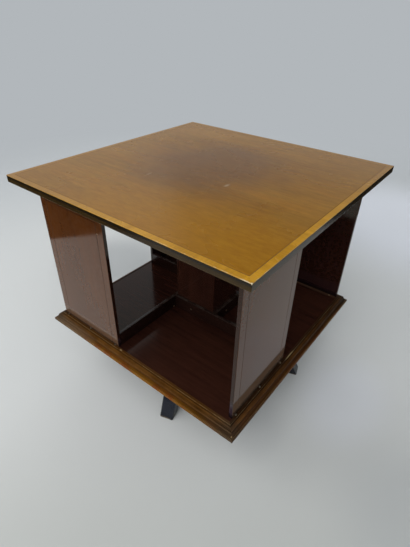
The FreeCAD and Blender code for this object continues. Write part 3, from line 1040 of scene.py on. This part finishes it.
@dataclass(frozen=True)
class BrassPin:
    """Domed brass pins that stand where a node's plain pins are."""

    node: str
    facing: Place
    length: float = 14 * MM
    point: float = 1.5 * MM
    head_radius: float = 2 * MM
    rim_height: float = 0.35 * MM
    dome_height: float = 1.1 * MM
    crown_depth: float = 0.05 * MM
    shank_radius: float = 0.6 * MM
    dome_steps: int = 5
    segments: int = 28

    def one(self) -> BMesh:
        """Turns one pin, its head's flat at the origin and its dome up.

        Returns:
            The pin's mesh.
        """
        mesh = bmesh.new()
        profile = [(0.0, -self.length), (self.shank_radius, self.point - self.length), (self.shank_radius, 0.0),
                   (self.head_radius, 0.0), (self.head_radius, self.rim_height)]
        rise = self.dome_height - self.rim_height
        for step in range(1, self.dome_steps + 1):
            turn = math.pi / 2 * step / self.dome_steps
            profile.append((self.head_radius * math.cos(turn), self.rim_height + rise * math.sin(turn)))
        points = [mesh.verts.new((radius, 0.0, height)) for radius, height in profile]
        edges = [mesh.edges.new(pair) for pair in zip(points, points[1:])]
        bmesh.ops.spin(mesh, geom=points + edges, cent=ORIGIN, axis=UP, angle=FULL_TURN, steps=self.segments,
                       use_merge=True)
        bmesh.ops.remove_doubles(mesh, verts=mesh.verts, dist=NODE_WELD / 4)
        bmesh.ops.recalc_face_normals(mesh, faces=mesh.faces)
        return mesh

    def heads(self) -> list[tuple[Vector, Vector]]:
        """Finds where the node's pins have their heads.

        Returns:
            For each pin, the middle of its head and the way that it faces.
        """
        plain = joined(self.node)
        found, seen = [], set()
        for start in plain.verts:
            if start in seen:
                continue
            seen.add(start)
            island = [start]
            for here in island:
                for other in (edge.other_vert(here) for edge in here.link_edges):
                    if other not in seen:
                        seen.add(other)
                        island.append(other)
            middle = sum((vert.co for vert in island), Vector()) / len(island)
            quarter = round(math.atan2(middle.x, -middle.y) / (math.pi / 2))
            facing = Matrix.Rotation(quarter * math.pi / 2, 3, "Z") @ Vector(self.facing).normalized()
            top = max(vert.co.dot(facing) for vert in island)
            crown = [vert.co for vert in island if vert.co.dot(facing) > top - self.crown_depth]
            found.append((sum(crown, Vector()) / len(crown) - facing * self.dome_height, facing))
        plain.free()
        return found

    def build(self) -> BMesh:
        """Sets a domed pin at each place.

        Returns:
            The mesh of all the node's pins.
        """
        whole = bmesh.new()
        pin = self.one()
        data = bpy.data.meshes.new("one pin")
        for middle, facing in self.heads():
            copied = pin.copy()
            copied.transform(Matrix.Translation(middle) @ facing.to_track_quat("Z", "Y").to_matrix().to_4x4())
            copied.to_mesh(data)
            copied.free()
            whole.from_mesh(data)
        pin.free()
        bpy.data.meshes.remove(data)
        return whole


@dataclass
class BookCase(SubAssembly):
    """Panels, column and battens that make the four bays."""

    corner_mark: Patch = Patch((-0.047, -0.0533, 0.1258), (0.0019, 0.0019, 0.0014), 0.9, 0.3)
    board_stray: float = 0.37
    column_stray: float = 2.0
    batten_stray: float = 4.0
    pins: tuple[BrassPin, ...] = (BrassPin("panel_foot_pins", (0.0, -1.0, 1.0)),
                                  BrassPin("batten_pins", (0.0, -1.0, 0.0)))

    def panel(self, side: str, shift: float) -> PanelPolish:
        """Faded mahogany of an upright panel; the two front ones carry more painted sheen at the foot.

        Args:
            side: which side of the case.
            shift: moves the figure, so that boards differ.

        Returns:
            The finish.
        """
        # The front and right panels get a stronger painted sheen band at the foot; the front one also gets less
        # painted shade with dirt there.
        marks = {"front": dict(bloom_and_painted_sheen=(0.15, 0.095, 0.062), foot_band_height=17 * MM, painted_sheen_share=0.65, foot_shade_and_dirt=0.7),
                 "right": dict(painted_sheen_share=0.45)}.get(side, {})
        return PanelPolish(f"panel mahogany {side}", Grain.ALONG_Z, FADED_DARK, FADED_LIGHT, MAHOGANY_PORE,
                           POLISH_ROUGHNESS, worn=MAHOGANY_WORN, broad=16.0, fine=240.0, pore_strength=0.12,
                           relief_depth=POLISH_RELIEF / 2, gloss_tint=(1.0, 0.95, 0.82),
                           specular=0.365 if side == "right" else 0.48, shift=strayed(shift), **marks)

    def column(self, side: str, shift: float) -> Timber:
        """Dark mahogany of a column board under an old gloss polish.

        Args:
            side: which side of the column.
            shift: moves the figure, so that boards differ.

        Returns:
            The finish.
        """
        return Timber(f"column mahogany {side}", Grain.ALONG_Z, INNER_DARK, INNER_LIGHT, MAHOGANY_PORE,
                      POLISH_ROUGHNESS, worn=MAHOGANY_WORN, broad=12.0, relief_depth=POLISH_RELIEF,
                      shift=strayed(shift))

    def batten(self, side: str, shift: float) -> DustyTimber:
        """Dark batten with dust along its top.

        Args:
            side: which side of the case.
            shift: moves the figure, so that boards differ.

        Returns:
            The finish.
        """
        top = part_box(f"book_batten_{side}")[1][2]
        return DustyTimber(f"batten mahogany {side}", Grain.along(side), (0.01, 0.0045, 0.0035),
                           (0.024, 0.01, 0.007), (0.008, 0.004, 0.003), 0.16, worn=MAHOGANY_WORN, broad=12.0,
                           relief_depth=POLISH_RELIEF, shift=strayed(shift), dusty_from=top - 0.6 * MM,
                           chips=(self.corner_mark,) if side == "left" else ())

    def build(self) -> None:
        """Builds and dresses the case."""
        bench = self.bench
        for number, side in enumerate(SIDES):
            shift = self.board_stray * number
            bench.dress(self.panel(side, shift), f"side_panel_{side}")
            bench.dress(self.column(side, shift + self.column_stray), f"column_board_{side}")
            bench.dress(self.batten(side, shift + self.batten_stray), f"book_batten_{side}")
        brass = Metal("pin brass", (0.62, 0.55, 0.42), (0.4, 0.33, 0.23), 0.5).make()
        for pin in self.pins:
            bench.finish(f"domed_{pin.node}", pin.build(), brass, Body.CASE, "brass", pin.node)


@dataclass
class Base(SubAssembly):
    """Base board with its ogee moulding."""

    half_side: float = 0.2265
    margin_half: float = 0.2128
    cove_lip_half: float = 0.2251
    top: float = 0.124
    cove_lip_height: float = 0.112
    lip_height: float = 0.1111
    bottom: float = 0.106
    easing: Easing = Easing(0.25 * MM)
    board_stray: float = 0.4
    # Pale spots on the front lip: dust with a painted sheen.
    dust: tuple[Patch, ...] = (Patch((-0.18, -0.2265, 0.11), (0.085, 0.011, 1.0), 0.65),
                               Patch((0.205, -0.2225, 0.115), (0.04, 0.02, 1.0), 0.2))
    board_marks: tuple[Patch, ...] = (Patch((0.193, 0.1988, 0.124), (0.0019, 0.0015, 0.002), 0.9, 0.3),
                                      Patch((0.15, 0.2, 0.124), (0.075, 0.007, 0.01), 0.09, 0.5))
    rubs: tuple[Patch, ...] = (Patch((0.222, -0.222, 0.1135), (0.0014, 0.0014, 0.0035), 0.75, 0.3),
                               Patch((0.2128, -0.022, 0.124), (0.0018, 0.017, 0.0018), 1.0, 0.3),
                               Patch((-0.0375, -0.211, 0.124), (0.003, 0.0016, 0.002), 0.8, 0.4))

    def moulding(self, side: str, shift: float) -> MouldingPolish:
        """Brown moulding with a golden lip, rubbed arrises and two painted arris highlights; the front one is paler,
        with less painted shade and dirt by the case.

        Args:
            side: which side of the base.
            shift: moves the figure, so that mouldings differ.

        Returns:
            The finish.
        """
        centre, strength = {"front": ((0.0, -0.2265, 0.11), 1.0), "right": ((0.2265, 0.05, 0.11), 0.4),
                            "back": ((0.05, 0.2265, 0.11), 0.5), "left": ((-0.2265, 0.02, 0.11), 0.4)}[side]
        dark, light = (0.036, 0.0135, 0.0035), (0.085, 0.032, 0.008)
        # Painted shade with dirt by the case: strongest on the left, weakest on the front.
        marks = {"left": dict(margin_shade_and_dirt=0.85)}.get(side, {})
        if side == "front":
            dark, light = (0.055, 0.021, 0.003), (0.13, 0.05, 0.008)
            marks = dict(margin_shade_and_dirt=0.2, bead_shine=0.7, dust_and_sheen_spots=self.dust)
        return MouldingPolish(
            f"moulding {side}", Grain.along(side), dark, light, (0.02, 0.008, 0.004), 0.45, worn=(0.42, 0.3, 0.15),
            broad=14.0, specular=0.12, shift=(shift, 0.0, shift), chips=self.rubs,
            held=Patch(centre, (0.19, 0.19, 1.0), strength, 0.5),
            rubbed=(RubbedLine(self.half_side, self.bottom + 0.3 * MM, 0.8 * MM, 0.5, 0.6),
                    RubbedLine(self.half_side, self.lip_height, 0.6 * MM, 0.56, 0.45),
                    # The cove-lip and margin arrises: wear with a painted highlight.
                    RubbedLine(self.cove_lip_half, self.cove_lip_height, 0.5 * MM, 0.42, 0.35),
                    RubbedLine(self.margin_half, self.top, 0.6 * MM, 0.45, 0.35)), **marks)

    def build(self) -> None:
        """Builds and dresses the base."""
        bench = self.bench
        bench.dress(Timber("base board mahogany", Grain.ALONG_X, INNER_DARK, INNER_LIGHT, MAHOGANY_PORE, 0.12,
                           specular=0.32, gloss_tint=(1.0, 0.93, 0.82), worn=MAHOGANY_WORN, broad=8.0,
                           relief_depth=0.02 * MM, chips=self.board_marks), "base_board")
        for number, side in enumerate(SIDES):
            node = f"base_moulding_{side}"
            bench.finish(f"moulding_{side}", bench.eased(node, self.easing),
                         self.moulding(side, self.board_stray * number).make(), Body.CASE, "moulding_wood", node)


@dataclass
class Stand(SubAssembly):
    """Hub and four downswept legs, the noses of their feet rounded first."""

    easing: Easing = Easing(0.6 * MM, 3, 25.0, 2 * MM)
    nose_easing: Easing = Easing(1.6 * MM, 3, 25.0, 4 * MM, 0.2115)

    def build(self) -> None:
        """Builds and dresses the stand, and dresses what is hidden inside the bookcase."""
        bench = self.bench
        black = Ebonised("ebonised legs", Grain.ALONG_X, (0.006, 0.007, 0.011), (0.014, 0.016, 0.026),
                         (0.004, 0.004, 0.005), 0.17, specular=0.42, worn=(0.3, 0.24, 0.16), broad=20.0).make()
        for side in SIDES:
            node = f"leg_{side}"
            bench.finish(f"swept_leg_{side}", bench.eased(node, self.nose_easing, self.easing), black, Body.STAND,
                         "stand_wood", node)
        bench.finish("hub_block", bench.eased("stand_hub", self.easing), black, Body.STAND, "stand_wood",
                     "stand_hub")
        bench.dress(Timber("plain wood", Grain.ALONG_X, (0.2, 0.1, 0.04), (0.36, 0.2, 0.09), (0.1, 0.05, 0.02), 0.5),
                    "tenon_pegs", "pivot_block", "panel_dowels", "column_dowels")
        bench.dress(Metal("fastener steel", (0.45, 0.45, 0.45), (0.2, 0.17, 0.15), 0.32), "mount_plate",
                    "plate_screws", "spindle", "pivot_ball", "stud_washer", "stud_nut", "bush_screws",
                    "panel_screws", "column_screws")
        bench.dress(Metal("bearing brass", (0.66, 0.48, 0.2), (0.34, 0.22, 0.09), 0.28), "base_bush", "pivot_cup")


# ---- surroundings ----
@dataclass(frozen=True)
class SoftLamp:
    """Rectangular soft lamp aimed at the object and kept out of reflections."""

    name: str
    place: Place
    width: float
    height: float
    power: float
    target: Place = (0.0, 0.0, 0.2)

    def hang(self) -> None:
        """Hangs the lamp in its place."""
        lamp = bpy.data.lights.new(self.name, "AREA")
        lamp.shape = "RECTANGLE"
        lamp.size, lamp.size_y, lamp.energy = self.width, self.height, self.power
        hung = bpy.data.objects.new(self.name, lamp)
        hung.visible_glossy = False
        hung.location = self.place
        hung.rotation_euler = (Vector(self.target) - Vector(self.place)).to_track_quat("-Z", "Y").to_euler()
        bpy.context.scene.collection.objects.link(hung)


@dataclass(frozen=True)
class SkyGlow:
    """Broad soft glow of the sky round one direction."""

    toward: Place
    strength: float
    falloff: float = 3.0

    def shine(self, sketch: Sketch, way: NodeSocket) -> NodeSocket:
        """Builds the glow's brightness.

        Args:
            sketch: the world's sketch.
            way: direction that is looked in.

        Returns:
            The brightness.
        """
        facing = sketch.vector("DOT_PRODUCT", way, self.toward)["Value"]
        half = sketch.math("MULTIPLY_ADD", facing, 0.5, 0.5, clamp=True)
        return sketch.times(sketch.math("POWER", half, self.falloff), self.strength)


def glossy_only(name: str, mesh: BMesh, material: Material) -> None:
    """Makes a sheet of the surroundings that shows in polished faces alone.

    Args:
        name: the sheet's name.
        mesh: its open mesh, which is closed here.
        material: its finish.
    """
    sheet = placed(name, mesh, material)
    for ray in ("camera", "diffuse", "transmission", "volume_scatter", "shadow"):
        setattr(sheet, f"visible_{ray}", False)


@dataclass(frozen=True)
class DarkScreen:
    """Upright dark screen beside the floor, seen only in polished faces."""

    name: str
    across: float
    ahead_from: float = -1.6
    ahead_to: float = 0.9
    height: float = 0.6

    def stand(self, right: Vector, ahead: Vector, material: Material) -> None:
        """Stands the screen.

        Args:
            right: level direction to the viewer's right.
            ahead: level direction away from the viewer.
            material: its dark cloth.
        """
        mesh = bmesh.new()
        bmesh.ops.create_grid(mesh, x_segments=1, y_segments=1, size=0.5)
        bmesh.ops.scale(mesh, vec=(self.ahead_to - self.ahead_from, self.height, 1.0), verts=mesh.verts)
        middle = right * self.across + ahead * ((self.ahead_from + self.ahead_to) / 2)
        middle.z = self.height / 2
        up = Vector(UP)
        turn = Matrix((ahead, up, ahead.cross(up))).transposed().to_4x4()
        mesh.transform(Matrix.Translation(middle) @ turn)
        glossy_only(self.name, mesh, material)


@dataclass
class Studio:
    """Pale floor swept up into a wall, soft lamps, dark screens, sky light and the camera."""

    floor_radius: float = 4.0
    floor_steps: int = 96
    sweep_radius: float = 1.6
    sweep_steps: int = 14
    wall_height: float = 3.2
    paper: StudioPaper = StudioPaper("studio paper")
    cloth: DarkCloth = DarkCloth("dark screen cloth")
    canopy_radius: float = 3.8
    canopy_height: float = 1.95
    canopy_gap_from: float = 134.5
    canopy_gap_to: float = 190.0
    canopy_steps: int = 60
    eye: Place = (0.4045, -0.5345, 0.6592)
    right: Place = (0.7850, 0.6199, 0.0186)
    down: Place = (0.3614, -0.4330, -0.8261)
    forward: Place = (-0.5037, 0.6548, -0.5635)
    lens: float = 26.05
    film_width: float = 36.0
    sight: float = 50.0
    lamps: tuple[SoftLamp, ...] = (
        SoftLamp("front light", (0.3, -2.8, 1.9), 1.8, 1.5, 38.0),
        SoftLamp("near front light", (-1.0, -0.9, 1.2), 1.0, 0.8, 4.9),
        SoftLamp("back left light", (-1.6, 1.6, 1.6), 1.6, 1.2, 6.6),
    )
    screens: tuple[DarkScreen, ...] = (DarkScreen("left_screen", -0.85), DarkScreen("right_screen", 0.87))
    sky: Colour = (0.51, 0.52, 0.53)
    glows: tuple[SkyGlow, ...] = (SkyGlow((0.61, -0.79, 0.0), 4.2), SkyGlow((-0.99, 0.12, 0.0), 1.78))

    def backdrop(self) -> None:
        """Builds the floor and wall by turning one line round the object."""
        mesh = bmesh.new()
        start = mesh.verts.new(ORIGIN)
        rim = mesh.verts.new((self.floor_radius, 0.0, 0.0))
        mesh.edges.new((start, rim))
        centre = Vector((self.floor_radius, 0.0, self.sweep_radius))
        swept = bmesh.ops.spin(mesh, geom=[rim], cent=centre, axis=(0.0, -1.0, 0.0), angle=math.pi / 2,
                               steps=self.sweep_steps, use_merge=False)
        last = next(item for item in swept["geom_last"] if isinstance(item, bmesh.types.BMVert))
        head = mesh.verts.new(last.co + Vector((0.0, 0.0, self.wall_height)))
        mesh.edges.new((last, head))
        bmesh.ops.spin(mesh, geom=list(mesh.edges) + list(mesh.verts), cent=ORIGIN, axis=UP, angle=FULL_TURN,
                       steps=self.floor_steps, use_merge=True)
        bmesh.ops.remove_doubles(mesh, verts=mesh.verts, dist=SHEET_WELD)
        bmesh.ops.recalc_face_normals(mesh, faces=mesh.faces)
        floor = placed("studio_floor", mesh, self.paper.make())
        if floor.data.polygons[0].normal.z < 0:
            floor.data.flip_normals()
        floor.data.shade_smooth()

    def canopy(self, cloth: Material) -> None:
        """Hangs the dark canopy that keeps the top's sheen low where one looks down on it.

        Args:
            cloth: the canopy's finish.
        """
        mesh = bmesh.new()
        middle = Vector((0.0, 0.0, self.canopy_height))
        start = Matrix.Rotation(math.radians(self.canopy_gap_to), 3, "Z") @ Vector((self.canopy_radius, 0.0, 0.0))
        spoke = mesh.edges.new((mesh.verts.new(middle), mesh.verts.new(middle + start)))
        sweep = 360.0 + self.canopy_gap_from - self.canopy_gap_to
        bmesh.ops.spin(mesh, geom=[spoke, *spoke.verts], cent=middle, axis=UP, angle=math.radians(sweep),
                       steps=self.canopy_steps, use_merge=False)
        bmesh.ops.remove_doubles(mesh, verts=mesh.verts, dist=SHEET_WELD)
        glossy_only("dark_canopy", mesh, cloth)

    def light(self) -> None:
        """Hangs the lamps and the canopy, stands the screens and sets the sky."""
        for lamp in self.lamps:
            lamp.hang()
        right, ahead = (Vector((*way[:2], 0.0)).normalized() for way in (self.right, self.forward))
        cloth = self.cloth.make()
        for screen in self.screens:
            screen.stand(right, ahead, cloth)
        self.canopy(cloth)
        world = bpy.data.worlds.new("soft room")
        bpy.context.scene.world = world
        world.use_nodes = True
        sketch = Sketch(world.node_tree)
        way = sketch.node("ShaderNodeTexCoord").outputs["Generated"]
        total: object = 0.0
        for glow in self.glows:
            total = sketch.math("ADD", glow.shine(sketch, way), total)
        sketch.fill(world.node_tree.nodes["Background"], Color=self.sky, Strength=total)

    def camera(self) -> None:
        """Stands the camera."""
        data = bpy.data.cameras.new("camera")
        data.lens, data.sensor_width, data.clip_end = self.lens, self.film_width, self.sight
        seen = bpy.data.objects.new("camera", data)
        turn = Matrix((Vector(self.right), -Vector(self.down), -Vector(self.forward))).transposed().to_4x4()
        seen.matrix_world = Matrix.Translation(self.eye) @ turn
        bpy.context.scene.collection.objects.link(seen)
        bpy.context.scene.camera = seen

    def build(self) -> None:
        """Sets the studio."""
        self.backdrop()
        self.light()
        self.camera()
        bpy.context.scene.view_settings.view_transform = "Standard"


def main() -> None:
    """Builds the bookcase and its surroundings, and logs how many new pieces there are."""
    logging.basicConfig(level=logging.INFO, format="%(name)s %(message)s")
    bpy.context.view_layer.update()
    bench = Bench()
    for part in (TableTop, BookCase, Base, Stand):
        part(bench).build()
    Studio().build()
    log.info("%d new pieces", len(bench.pieces))


if __name__ == "__main__":
    main()
